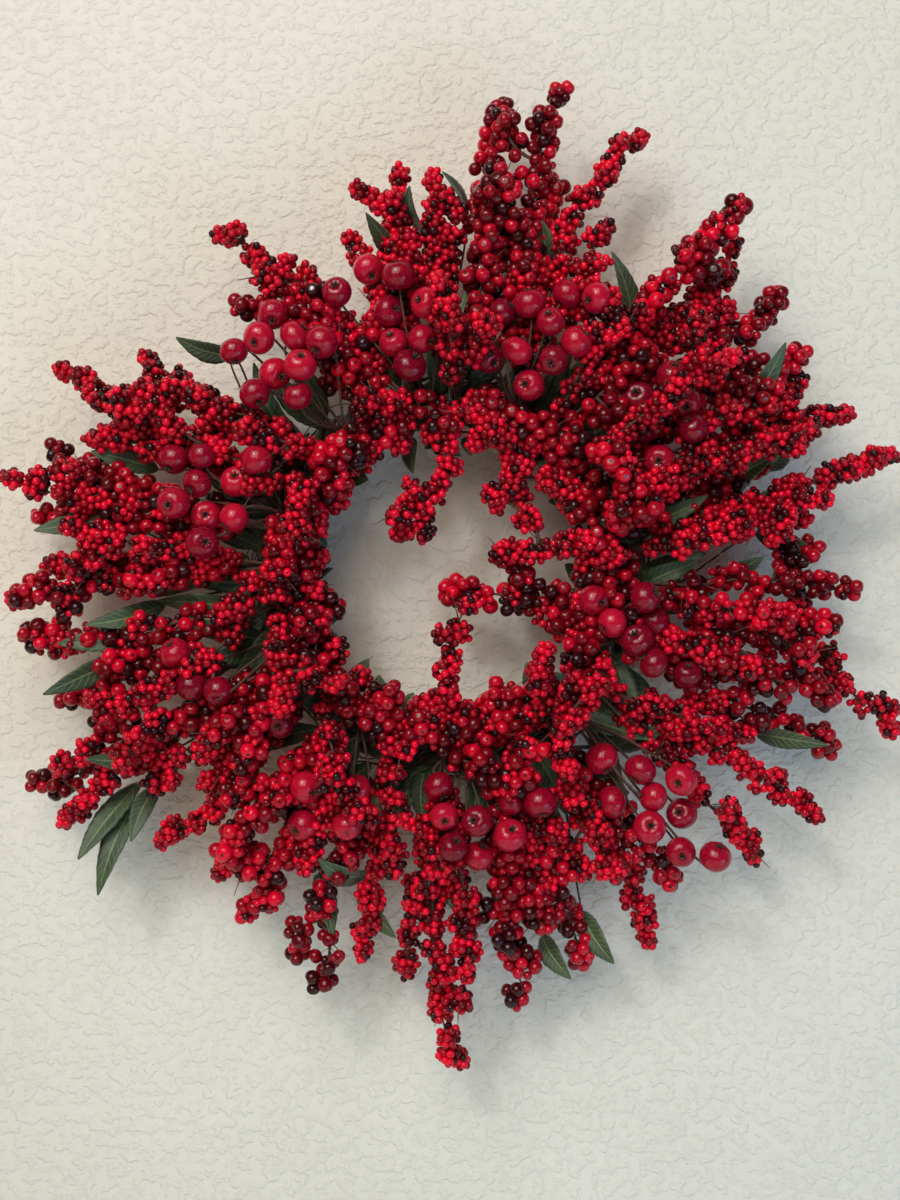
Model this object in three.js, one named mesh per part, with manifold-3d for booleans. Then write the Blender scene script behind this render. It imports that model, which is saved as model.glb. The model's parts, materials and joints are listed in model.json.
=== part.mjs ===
// Artificial red berry wreath: a twisted vine ring on a wire hanger, dressed with berry picks,
// crab apple picks and leaf sprigs. Millimetres. +X is to the right seen from the front, +Z is up and
// the front faces -Y. The origin is the inside top of the hanger loop, where the nail bears.
import * as THREE from "three";
import { mergeVertices } from "three/addons/utils/BufferGeometryUtils.js";
import Module from "manifold-3d";

// ---- Driving dimensions ----
const WALL_Y = 8; // the wall plane, behind the nail's bearing point
const RING_R = 128; // radius of the vine ring's centreline
const RING_DEPTH = 38; // the ring centreline's distance from the wall
const VINE_COUNT = 4;
const VINE_R = 7; // one strand
const TWIST_R = 12.5; // radius of the helix that each strand follows
const TWISTS = 7; // turns of that helix round the ring
const BINDING_R = 22.5; // centreline of a wire wrap round the vine bundle
const BINDING_WIRE_R = 1;
const BINDING_CLOCKS = [25, 150, 275];
const HANGER_WIRE_R = 1.25;
const LOOP_HALF_WIDTH = 11;
const LOOP_HEIGHT = 38;
const EYE_R = 5.2; // centreline of the eye that the loop's foot runs in
const ROOT_DEPTH = 65; // where the picks are wired on, at the ring's front face
const STEM_R = 1.6;
const LEAF_THICKNESS = 1;
const LEAF_HALF_WIDTH = 8;
const LEAF_STEP = 0.8; // each leaf of a sprig lies this much further back
const LEAF_OUTLINE = [[0, 0.2], [0.35, 1], [0.7, 0.8], [1, 0.1]];
const GAP = 1.2; // kept between neighbours
const FRONT = new THREE.Vector3(0, -1, 0);
const FRONT_LIFT_DEG = 25; // how far a front spray bends away from the wall
const LIFT_STEPS = [0, 0.2, 0.4, 0.6, 0.8, 1]; // shares of that bend, close enough to cover its sweep

// How far the facets of a cut piece may stand off its true outline.
const FINE_SLACK = 0.02;
const LEAF_SLACK = 0.1;
const CLUSTER_SLACK = 0.6;

// The ring's centre lies below the origin by the loop, the eye and the upper half of the ring.
const EYE_REACH = BINDING_R + EYE_R;
const EYE_LEAN = Math.PI / 4; // the eye stands back and up on its wrap
const EYE = new THREE.Vector3(0, WALL_Y - RING_DEPTH + EYE_REACH * Math.cos(EYE_LEAN), -LOOP_HEIGHT);
const RING_Z = EYE.z - EYE_REACH * Math.sin(EYE_LEAN) - RING_R;

// Berries: radius of the covered length, and the finish.
const KINDS = {
  fine: { radius: 9, colour: 0xb3101e },
  medium: { radius: 9, colour: 0x8e0d1a },
  mixed: { radius: 11, colour: 0xa80f1d },
};
// Stations along a branch: [share of its length, share of the berry radius]; 0 is bare stem.
const BRANCH_PROFILE = [[0, 0], [0.3, 0], [0.4, 0.9], [0.86, 1], [1, 0.6]];
const BRANCH_SIDES = 4;

// Berry picks: the clock angle of the stem's root on the ring, in degrees anticlockwise from +X, and
// its branches as [tip x, tip z, tip depth from the wall, sideways bow, kind], x and z from the
// ring's centre.
const BERRY_PICKS = [
  { root: 357, branches: [[290, -11, 60, 8, "medium"], [272, -32, 86, -6, "mixed"],
    [284, -58, 42, -8, "fine"], [53, -25, 66, -10, "medium"]] },
  { root: 340, branches: [[330, -113, 60, 22, "fine"], [279, -91, 78, 4, "medium"],
    [286, -124, 50, -8, "medium"], [214, -58, 88, 4, "fine"], [-9, -11, 58, -12, "mixed"]] },
  { root: 322, branches: [[268, -178, 62, 10, "fine"], [225, -210, 48, 6, "fine"],
    [200, -120, 76, 6, "fine"]] },
  { root: 303, branches: [[167, -221, 62, -8, "medium"], [149, -265, 44, 4, "fine"],
    [116, -214, 80, 4, "fine"]] },
  { root: 284, branches: [[97, -289, 42, 6, "medium"], [54, -312, 52, -6, "medium"],
    [40, -261, 70, 6, "medium"], [72, -225, 60, -4, "fine"], [65, -83, 72, 10, "medium"]] },
  { root: 268, branches: [[10, -358, 56, -26, "fine"], [13, -291, 74, 4, "fine"],
    [-30, -294, 42, -6, "fine"], [62, -141, 92, -10, "mixed"], [15, -18, 84, 12, "fine"]] },
  { root: 250, branches: [[-68, -277, 48, 4, "fine"], [-109, -284, 60, -6, "medium"],
    [-43, -214, 82, 6, "fine"], [-9, -85, 76, -8, "fine"], [-30, -123, 92, 6, "fine"]] },
  { root: 234, branches: [[-146, -248, 62, 6, "mixed"], [-175, -222, 42, -6, "fine"],
    [-107, -215, 78, 6, "fine"], [-156, -199, 88, -6, "mixed"]] },
  { root: 220, branches: [[-210, -199, 52, 6, "fine"], [-203, -145, 72, -6, "fine"],
    [-181, -152, 64, 4, "fine"], [-71, -96, 68, 10, "fine"]] },
  { root: 207, branches: [[-310, -154, 40, 14, "medium"], [-283, -180, 62, -10, "fine"],
    [-210, -112, 76, 6, "medium"], [-145, -138, 96, -6, "mixed"]] },
  { root: 190, branches: [[-286, -97, 42, -8, "medium"], [-311, -47, 52, 6, "mixed"],
    [-257, -91, 86, 26, "fine"]] },
  { root: 177, branches: [[-315, -20, 66, -8, "mixed"], [-297, 9, 44, 6, "fine"],
    [-275, 33, 76, 4, "fine"], [-170, -32, 90, 10, "fine"]] },
  { root: 165, branches: [[-322, 69, 60, 6, "fine"], [-304, 42, 50, -8, "medium"],
    [-290, 89, 44, 8, "medium"], [-127, -13, 92, 12, "fine"], [-80, -54, 60, -26, "medium"]] },
  { root: 151, branches: [[-264, 98, 60, -6, "fine"], [-286, 151, 62, 10, "fine"],
    [-253, 127, 82, -4, "fine"]] },
  { root: 137, branches: [[-228, 160, 48, 8, "fine"], [-203, 134, 78, -4, "fine"],
    [-152, 109, 92, 4, "fine"]] },
  { root: 119, branches: [[-93, 192, 62, -6, "medium"], [-139, 232, 46, -8, "medium"],
    [-83, 52, 84, -8, "medium"]] },
  { root: 102, branches: [[-170, 246, 62, -18, "fine"], [-151, 196, 70, -10, "medium"],
    [-75, 250, 46, -12, "fine"], [-39, 300, 44, 6, "fine"], [-37, 244, 60, 6, "fine"],
    [-69, 112, 94, -8, "fine"]] },
  { root: 87, branches: [[-68, 284, 60, -24, "fine"], [-8, 294, 60, 8, "fine"],
    [39, 341, 48, 6, "medium"], [33, 291, 74, -6, "medium"], [36, 98, 84, 6, "fine"],
    [-40, 25, 78, 20, "fine"]] },
  { root: 71, branches: [[79, 352, 60, 10, "medium"], [77, 289, 42, 4, "mixed"],
    [112, 253, 72, -4, "fine"], [137, 320, 52, 22, "fine"]] },
  { root: 54, branches: [[207, 268, 74, 8, "mixed"], [214, 245, 46, -6, "fine"],
    [122, 198, 90, 8, "fine"], [138, 160, 84, -4, "medium"]] },
  { root: 37, branches: [[199, 211, 62, 6, "fine"], [244, 207, 46, 6, "medium"],
    [257, 163, 62, -8, "medium"], [214, 163, 60, -4, "fine"]] },
  { root: 22, branches: [[247, 127, 62, 6, "fine"], [265, 105, 82, 4, "fine"],
    [299, 125, 44, 8, "fine"], [192, 83, 92, 6, "fine"], [28, 62, 76, -14, "fine"]] },
  { root: 8, branches: [[326, 85, 60, 8, "fine"], [232, 90, 42, 6, "medium"], [268, 52, 78, 4, "fine"],
    [214, 36, 90, -4, "fine"], [29, 12, 76, -10, "fine"], [94, 25, 90, 8, "fine"]] },
];

// Short branches that every berry pick also has, to cover the ring: the turn along the ring from the
// pick's root to the tip, in degrees, then the tip's radius and depth, and the kind.
const COLLAR = [
  [10, 94, 72, "fine"],
  [-13, 106, 80, "medium"],
];

// Front sprays, single stems that lie over everything else and can be bent forward.
const FRONT_SPRAYS = [
  { root: 89, branch: [0, 208, 112, 4, "fine"] },
  { root: 41, branch: [197, 146, 112, 6, "fine"] },
  { root: 12, branch: [104, 92, 118, -6, "mixed"] },
  { root: 336, branch: [80, -134, 114, -18, "fine"] },
  { root: 300, branch: [69, -47, 108, 6, "fine"] },
  { root: 222, branch: [-49, -175, 114, -10, "fine"] },
  { root: 192, branch: [-120, -98, 112, 16, "fine"] },
  { root: 147, branch: [-102, 22, 110, -6, "fine"] },
];

// Crab apple picks: root clock, depth of the lowest apple and the apples' [x, z].
const APPLE_R = 11.5;
const APPLE_STEPS = [0, 8, 15]; // the apples of a pick stand on one another
const APPLE_PICKS = [
  { root: 128, depth: 84, apples: [[-125, 184], [-107, 167], [-91, 162], [-153, 158], [-134, 166],
    [-104, 146], [-124, 142], [-137, 127], [-106, 124]] },
  { root: 98, depth: 80, apples: [[-58, 217], [-80, 199], [-36, 209], [-43, 187], [-20, 165],
    [-17, 190], [-40, 165], [-28, 148]] },
  { root: 68, depth: 84, apples: [[37, 186], [56, 190], [70, 176], [83, 198], [103, 194], [88, 162],
    [27, 153], [47, 157], [72, 149], [56, 134]] },
  { root: 160, depth: 82, apples: [[-196, 82], [-174, 84], [-135, 80], [-152, 66], [-178, 64],
    [-193, 50], [-173, 42], [-152, 40], [-173, 22]] },
  { root: 36, depth: 80, apples: [[139, 104], [148, 80], [156, 138], [133, 126], [166, 122],
    [170, 102]] },
  { root: 346, depth: 84, apples: [[102, -19], [114, -34], [136, -16], [144, -35], [124, -52],
    [140, -58], [168, -70]] },
  { root: 201, depth: 80, apples: [[-195, -56], [-182, -78], [-162, -82], [-150, -101], [-121, -104]] },
  { root: 274, depth: 84, apples: [[-8, -150], [-4, -170], [19, -172], [42, -160], [63, -160],
    [2, -190], [20, -199], [42, -183]] },
  { root: 311, depth: 78, apples: [[108, -131], [135, -139], [162, -144], [115, -162], [143, -156],
    [140, -177], [165, -170], [163, -196], [186, -198]] },
  { root: 240, depth: 80, apples: [[-104, -178], [-102, -150], [-72, -176], [-66, -152]] },
];

// Leaf sprigs: root clock and the leaves as [base x, base z, tip x, tip z]. They lie behind the sprays.
const LEAF_SPRIGS = [
  { root: 148, leaves: [[-193, 102, -244, 104], [-215, 78, -253, 88], [-158, 163, -192, 170],
    [-157, 113, -182, 87], [-164, 160, -144, 171]] },
  { root: 183, leaves: [[-254, 40, -291, 33], [-232, 36, -268, 43], [-210, -20, -251, -33],
    [-226, -41, -272, -47], [-242, -62, -282, -82]] },
  { root: 213, leaves: [[-228, -152, -260, -194], [-231, -165, -249, -220], [-215, -154, -227, -183],
    [-220, -138, -253, -132]] },
  { root: 256, leaves: [[-57, -219, -88, -204], [-98, -219, -86, -251], [-62, -239, -44, -259],
    [-22, -207, 10, -244]] },
  { root: 302, leaves: [[84, -156, 104, -184], [68, -265, 83, -286], [97, -248, 115, -275],
    [120, -127, 148, -112], [153, -123, 166, -100]] },
  { root: 352, leaves: [[199, -2, 218, 9], [225, 33, 261, 17], [225, -116, 260, -121],
    [212, 45, 236, 62]] },
  { root: 44, leaves: [[134, 176, 119, 220], [130, 168, 99, 140], [202, 117, 233, 155],
    [206, 75, 228, 84], [233, 78, 241, 93]] },
  { root: 93, leaves: [[-40, 230, -57, 251], [14, 263, -3, 282], [70, 223, 67, 251],
    [-20, 254, -28, 272], [42, 238, 38, 262]] },
];
const LEAF_DEPTH = 30; // a sprig's foremost leaf
const LEAF_ROOT_R = RING_R + 23; // the sprigs are wired to the outer side of the ring

const FINISHES = {
  vine: { color: 0x2c1c15, roughness: 0.85, metalness: 0 },
  wire: { color: 0x3a3c38, roughness: 0.45, metalness: 0.8 },
  apple: { color: 0x9c0f20, roughness: 0.25, metalness: 0 },
  leaf: { color: 0x24341f, roughness: 0.55, metalness: 0 },
};

// ---- Places ----
const radians = THREE.MathUtils.degToRad;

// A point from the ring's centre, at a distance from the wall.
function place(x, z, depth) {
  return new THREE.Vector3(x, WALL_Y - depth, RING_Z + z);
}

function onRing(clock, radius, depth) {
  return place(radius * Math.cos(radians(clock)), radius * Math.sin(radians(clock)), depth);
}

// A branch leaves the ring's front, rises clear of the vines and runs out to its tip.
function branchCurve(rootClock, [x, z, depth, bow]) {
  const start = onRing(rootClock, RING_R, ROOT_DEPTH);
  const end = place(x, z, depth);
  const run = new THREE.Vector3(end.x - start.x, 0, end.z - start.z);
  const side = new THREE.Vector3(-run.z, 0, run.x).normalize();
  const crest = Math.max(ROOT_DEPTH, depth) + 8;
  const first = start.clone().addScaledVector(run, 0.3);
  first.y = WALL_Y - crest;
  const second = start.clone().addScaledVector(run, 0.7).addScaledVector(side, bow * 1.5);
  second.y = WALL_Y - THREE.MathUtils.lerp(depth, crest, 0.3);
  return new THREE.CubicBezierCurve3(start, first, second, end);
}

function collarBranches(root) {
  return COLLAR.map(([turn, radius, depth, kind]) => {
    const clock = radians(root + turn);
    return [radius * Math.cos(clock), radius * Math.sin(clock), depth, 0, kind];
  });
}

// ---- Solids ----
const wasm = await Module();
wasm.setup();

function toSolid(geometry) {
  const bare = geometry.clone();
  bare.deleteAttribute("normal");
  bare.deleteAttribute("uv");
  const merged = mergeVertices(bare, 1e-4);
  return new wasm.Manifold(new wasm.Mesh({
    numProp: 3,
    vertProperties: merged.attributes.position.array,
    triVerts: new Uint32Array(merged.index.array),
  }));
}

function toGeometry(solid) {
  const { vertProperties, triVerts } = solid.getMesh();
  const geometry = new THREE.BufferGeometry();
  geometry.setAttribute("position", new THREE.BufferAttribute(new Float32Array(vertProperties), 3));
  geometry.setIndex(new THREE.BufferAttribute(new Uint32Array(triVerts), 1));
  geometry.computeVertexNormals();
  return geometry;
}

function unite(solids) {
  return solids.reduce((whole, solid) => whole.add(solid));
}

// A closed cylinder bent along a curve: stations are [share of the curve's length, radius].
function bentRod(curve, stations, sides, grow = 0) {
  const steps = stations.length - 1;
  const rod = new THREE.CylinderGeometry(1, 1, 1, sides, steps);
  const frames = stations.map(([share]) => frameAt(curve, share));
  const positions = rod.attributes.position;
  const vertex = new THREE.Vector3();
  for (let i = 0; i < positions.count; i++) {
    vertex.fromBufferAttribute(positions, i);
    const station = Math.round((vertex.y + 0.5) * steps);
    const { point, across, up, along } = frames[station];
    const radius = stations[station][1] + grow;
    const overrun = station === 0 ? -grow : station === steps ? grow : 0;
    const moved = point.clone()
      .addScaledVector(across, vertex.x * radius)
      .addScaledVector(up, vertex.z * radius)
      .addScaledVector(along, overrun);
    positions.setXYZ(i, moved.x, moved.y, moved.z);
  }
  return toSolid(rod);
}

function frameAt(curve, share) {
  const point = curve.getPointAt(share);
  const along = curve.getTangentAt(share);
  const across = new THREE.Vector3().crossVectors(along, FRONT);
  if (across.length() < 0.05) across.set(1, 0, 0);
  across.normalize();
  const up = new THREE.Vector3().crossVectors(across, along).normalize();
  return { point, along, across, up };
}

function branchSolid(rootClock, branch, grow) {
  const berries = KINDS[branch[4]].radius;
  const stations = BRANCH_PROFILE.map(([share, fill]) => [share, Math.max(STEM_R, berries * fill)]);
  return bentRod(branchCurve(rootClock, branch), stations, BRANCH_SIDES, grow);
}

function berryPick({ root, branches }, grow) {
  const all = [...branches, ...collarBranches(root)];
  return unite(all.map((branch) => branchSolid(root, branch, grow)));
}

function stem(from, to, grow) {
  return bentRod(new THREE.LineCurve3(from, to), [[0, STEM_R], [1, STEM_R]], 4, grow);
}

// Each apple's stem runs to the nearest apple before it, and the first one's to the ring.
function applePick({ root, depth, apples }, grow) {
  const joints = [onRing(root, RING_R, ROOT_DEPTH)];
  const parts = apples.flatMap(([x, z], i) => {
    const centre = place(x, z, depth + APPLE_STEPS[i % APPLE_STEPS.length]);
    const apple = new THREE.SphereGeometry(APPLE_R + grow, 6, 4);
    apple.rotateX(Math.PI / 2).translate(centre.x, centre.y, centre.z);
    const nearest = joints.reduce((best, joint) => (
      joint.distanceTo(centre) < best.distanceTo(centre) ? joint : best));
    joints.push(centre);
    return [toSolid(apple), stem(nearest, centre, grow)];
  });
  return unite(parts);
}

// A flat plate parallel to the wall, from its outline's [x, z] points.
function plate(points, depth, grow) {
  const outline = new THREE.Shape(points.map(([x, z]) => new THREE.Vector2(x, -z)));
  const thickness = LEAF_THICKNESS + 2 * grow;
  const sheet = new THREE.ExtrudeGeometry(outline, { depth: thickness, bevelEnabled: false });
  const centre = place(0, 0, depth);
  sheet.translate(0, 0, -thickness / 2).rotateX(Math.PI / 2).translate(0, centre.y, centre.z);
  return toSolid(sheet);
}

// A pointed blade on a straight stalk: stations are [share of the length, share of the half width].
function ribbon(from, to, halfWidth, stations, depth, grow) {
  const run = to.clone().sub(from);
  const side = new THREE.Vector2(-run.y, run.x).normalize();
  const over = grow / run.length();
  const edge = (sign) => stations.map(([share, fill]) => {
    const along = from.clone().addScaledVector(run, share + (share < 0.5 ? -over : over));
    return along.addScaledVector(side, sign * (halfWidth * fill + grow)).toArray();
  });
  return plate([...edge(1), ...edge(-1).reverse()], depth, grow);
}

function leafSprig({ root, leaves }, grow) {
  const clock = radians(root);
  const foot = new THREE.Vector2(LEAF_ROOT_R * Math.cos(clock), LEAF_ROOT_R * Math.sin(clock));
  const parts = leaves.flatMap(([x, z, tipX, tipZ], i) => {
    const base = new THREE.Vector2(x, z);
    const level = LEAF_DEPTH - LEAF_STEP * i;
    return [
      ribbon(foot, base, STEM_R, [[0, 1], [1, 1]], level, grow),
      ribbon(base, new THREE.Vector2(tipX, tipZ), LEAF_HALF_WIDTH, LEAF_OUTLINE, level, grow),
    ];
  });
  return unite(parts);
}

class TwistedStrand extends THREE.Curve {
  constructor(phase) {
    super();
    this.phase = phase;
  }
  getPoint(share, target = new THREE.Vector3()) {
    const clock = share * 2 * Math.PI;
    const twist = this.phase + clock * TWISTS;
    const radius = RING_R + TWIST_R * Math.cos(twist);
    const depth = RING_DEPTH + TWIST_R * Math.sin(twist);
    return target.copy(place(radius * Math.cos(clock), radius * Math.sin(clock), depth));
  }
}

function vineStrand(index, grow) {
  const path = new TwistedStrand((index / VINE_COUNT) * 2 * Math.PI);
  return toSolid(new THREE.TubeGeometry(path, 49, VINE_R + grow, 5, true));
}

// The frame of a wrap round the vine bundle: outwards, towards the wall, along the ring.
function wrapFrame(clock) {
  const outwards = new THREE.Vector3(Math.cos(radians(clock)), 0, Math.sin(radians(clock)));
  const wallwards = new THREE.Vector3(0, 1, 0);
  const along = new THREE.Vector3().crossVectors(outwards, wallwards);
  return new THREE.Matrix4().makeBasis(outwards, wallwards, along)
    .setPosition(onRing(clock, RING_R, RING_DEPTH));
}

function bindingWire(clock, grow) {
  const wrap = new THREE.TorusGeometry(BINDING_R, BINDING_WIRE_R + grow, 4, 14);
  return toSolid(wrap.applyMatrix4(wrapFrame(clock)));
}

// A wrap at the top of the ring, with an eye twisted into it for the hanger loop.
function hangerEye(grow) {
  const eye = new THREE.TorusGeometry(EYE_R, BINDING_WIRE_R + grow, 4, 10);
  eye.translate(EYE_REACH * Math.sin(EYE_LEAN), EYE_REACH * Math.cos(EYE_LEAN), 0);
  return bindingWire(90, grow).add(toSolid(eye.applyMatrix4(wrapFrame(90))));
}

// An oval of wire from the eye up to the nail, its top inside face at the origin.
class LoopPath extends THREE.Curve {
  getPoint(share, target = new THREE.Vector3()) {
    const angle = share * 2 * Math.PI;
    const upwards = EYE.clone().negate().normalize();
    const halfHeight = (EYE.length() + HANGER_WIRE_R) / 2;
    return target.copy(EYE)
      .addScaledVector(upwards, halfHeight * (1 + Math.sin(angle)))
      .add(new THREE.Vector3(LOOP_HALF_WIDTH * Math.cos(angle), 0, 0));
  }
}

function hangerLoop(grow) {
  return toSolid(new THREE.TubeGeometry(new LoopPath(), 24, HANGER_WIRE_R + grow, 6, true));
}

// The room that a front spray sweeps as it is bent forward about its root.
function sweptSpray({ root, branch }, grow) {
  const solid = branchSolid(root, branch, grow);
  const hinge = onRing(root, RING_R, ROOT_DEPTH);
  const run = place(branch[0], branch[1], ROOT_DEPTH).sub(hinge).normalize();
  const axis = new THREE.Vector3().crossVectors(run, FRONT);
  const poses = LIFT_STEPS.map((share) => {
    const turn = new THREE.Matrix4().makeRotationAxis(axis, radians(FRONT_LIFT_DEG * share));
    const about = new THREE.Matrix4().makeTranslation(hinge).multiply(turn)
      .multiply(new THREE.Matrix4().makeTranslation(hinge.clone().negate()));
    return solid.transform(about.elements);
  });
  return unite(poses);
}

// ---- Assembly ----
const wreath = new THREE.Group();
const taken = [];

function boxesMeet(a, b) {
  return [0, 1, 2].every((axis) => a.min[axis] < b.max[axis] && b.min[axis] < a.max[axis]);
}

function largestBody(solid) {
  return solid.decompose().reduce((best, body) => (body.volume() > best.volume() ? body : best));
}

// Adds a node. A piece pressed among its neighbours has hollows where they lie against it.
function addNode(name, finish, build, slack = FINE_SLACK, room = build) {
  let solid = build(0);
  const box = solid.boundingBox();
  for (const neighbour of taken)
    if (boxesMeet(box, neighbour.boundingBox())) solid = solid.subtract(neighbour);
  const mesh = new THREE.Mesh(
    toGeometry(largestBody(solid.simplify(slack))),
    new THREE.MeshStandardMaterial(finish),
  );
  mesh.name = name;
  wreath.add(mesh);
  taken.push(room(GAP));
}

const twoDigits = (index) => String(index + 1).padStart(2, "0");
const berryFinish = (kind) => ({ color: KINDS[kind].colour, roughness: 0.3, metalness: 0 });

addNode("hanger_loop", FINISHES.wire, hangerLoop);
addNode("hanger_eye", FINISHES.wire, hangerEye);
for (let i = 0; i < VINE_COUNT; i++)
  addNode(`vine_strand_${i + 1}`, FINISHES.vine, (grow) => vineStrand(i, grow));
BINDING_CLOCKS.forEach((clock, i) =>
  addNode(`binding_wire_${i + 1}`, FINISHES.wire, (grow) => bindingWire(clock, grow)));
FRONT_SPRAYS.forEach((spray, i) => {
  const build = (grow) => branchSolid(spray.root, spray.branch, grow);
  const room = (grow) => sweptSpray(spray, grow);
  addNode(`front_spray_${i + 1}`, berryFinish(spray.branch[4]), build, CLUSTER_SLACK, room);
});
APPLE_PICKS.forEach((pick, i) => {
  const build = (grow) => applePick(pick, grow);
  addNode(`crab_apple_pick_${twoDigits(i)}`, FINISHES.apple, build, CLUSTER_SLACK);
});
LEAF_SPRIGS.forEach((sprig, i) => {
  const build = (grow) => leafSprig(sprig, grow);
  addNode(`leaf_sprig_${i + 1}`, FINISHES.leaf, build, LEAF_SLACK);
});
BERRY_PICKS.forEach((pick, i) => {
  const build = (grow) => berryPick(pick, grow);
  addNode(`berry_pick_${twoDigits(i)}`, berryFinish(pick.branches[0][4]), build, CLUSTER_SLACK);
});

export default wreath;
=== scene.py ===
"""The looks of an artificial red berry wreath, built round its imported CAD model.

Metres. +X is to the right seen from the front, +Z is up and the front faces -Y. The layout tables are
the CAD model's own: millimetres from the ring's centre, with depths measured from the wall.
"""
import json
import math
from dataclasses import dataclass

import bmesh
import bpy
import numpy as np
from mathutils import Matrix, Vector
from mathutils.kdtree import KDTree


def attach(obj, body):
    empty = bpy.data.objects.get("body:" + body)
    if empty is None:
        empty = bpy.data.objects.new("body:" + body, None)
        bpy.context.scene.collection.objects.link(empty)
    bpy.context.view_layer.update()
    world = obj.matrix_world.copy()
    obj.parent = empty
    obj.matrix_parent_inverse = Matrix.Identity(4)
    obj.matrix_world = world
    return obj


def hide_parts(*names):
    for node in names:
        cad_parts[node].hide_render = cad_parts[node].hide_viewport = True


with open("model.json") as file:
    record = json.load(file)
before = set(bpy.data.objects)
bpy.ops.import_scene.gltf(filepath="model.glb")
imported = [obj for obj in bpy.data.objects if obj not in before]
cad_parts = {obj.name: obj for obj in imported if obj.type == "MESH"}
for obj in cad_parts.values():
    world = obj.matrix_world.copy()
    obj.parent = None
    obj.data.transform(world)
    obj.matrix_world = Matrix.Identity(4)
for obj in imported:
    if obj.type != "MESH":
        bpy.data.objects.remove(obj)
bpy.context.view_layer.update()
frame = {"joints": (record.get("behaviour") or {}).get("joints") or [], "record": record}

SEED = 20
MM = 0.001
TURN = 2 * math.pi
FRONT = np.array([0.0, -1.0, 0.0])

# ---- The ring and its hanger, in millimetres, as in the CAD model ----
WALL_Y = 8
RING_R = 128
RING_DEPTH = 38  # the ring centreline's distance from the wall
VINE_COUNT = 4
TWIST_R = 12.5  # radius of the helix that each strand follows
TWISTS = 7
VINES_PER_STRAND = 3
VINE_R = 3.4
VINE_OFFSET = 3.6  # each thin vine's distance from its strand's centre
VINE_TURNS = 11  # turns of a thin vine round its strand
BUNDLE_R = 20.4  # where a wire lies on the vines
BINDING_R = 22.5  # where the hanger's wrap stands off for its eye
BINDING_CLOCKS = (25, 150, 275)
BINDING_WIRE_R = 0.9
EYE_R = 5.2
EYE_REACH = BINDING_R + EYE_R
EYE_LEAN = 45
LOOP_HALF_WIDTH = 11
LOOP_WIRE_R = 0.7  # each of the loop's two twisted wires
ROOT_DEPTH = 65  # where the picks are wired on
LEAF_DEPTH = 30
LEAF_STEP = 0.8
LEAF_ROOT_R = RING_R + 23
LEAF_HALF_WIDTH = 8.8
LEAF_STRETCH = 1.18  # a real blade is this much longer than its plain plate
TUCKED_LEAVES = 14  # to each sprig, between the berries
APPLE_R = 11.5
APPLE_STEPS = (0, 8, 15)

JOINTS = {joint["name"]: joint for joint in frame["joints"]}
EYE = np.array(JOINTS["hanger_hinge"]["pos_m"]) / MM
RING_Z = EYE[2] - EYE_REACH * math.sin(math.radians(EYE_LEAN)) - RING_R

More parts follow.
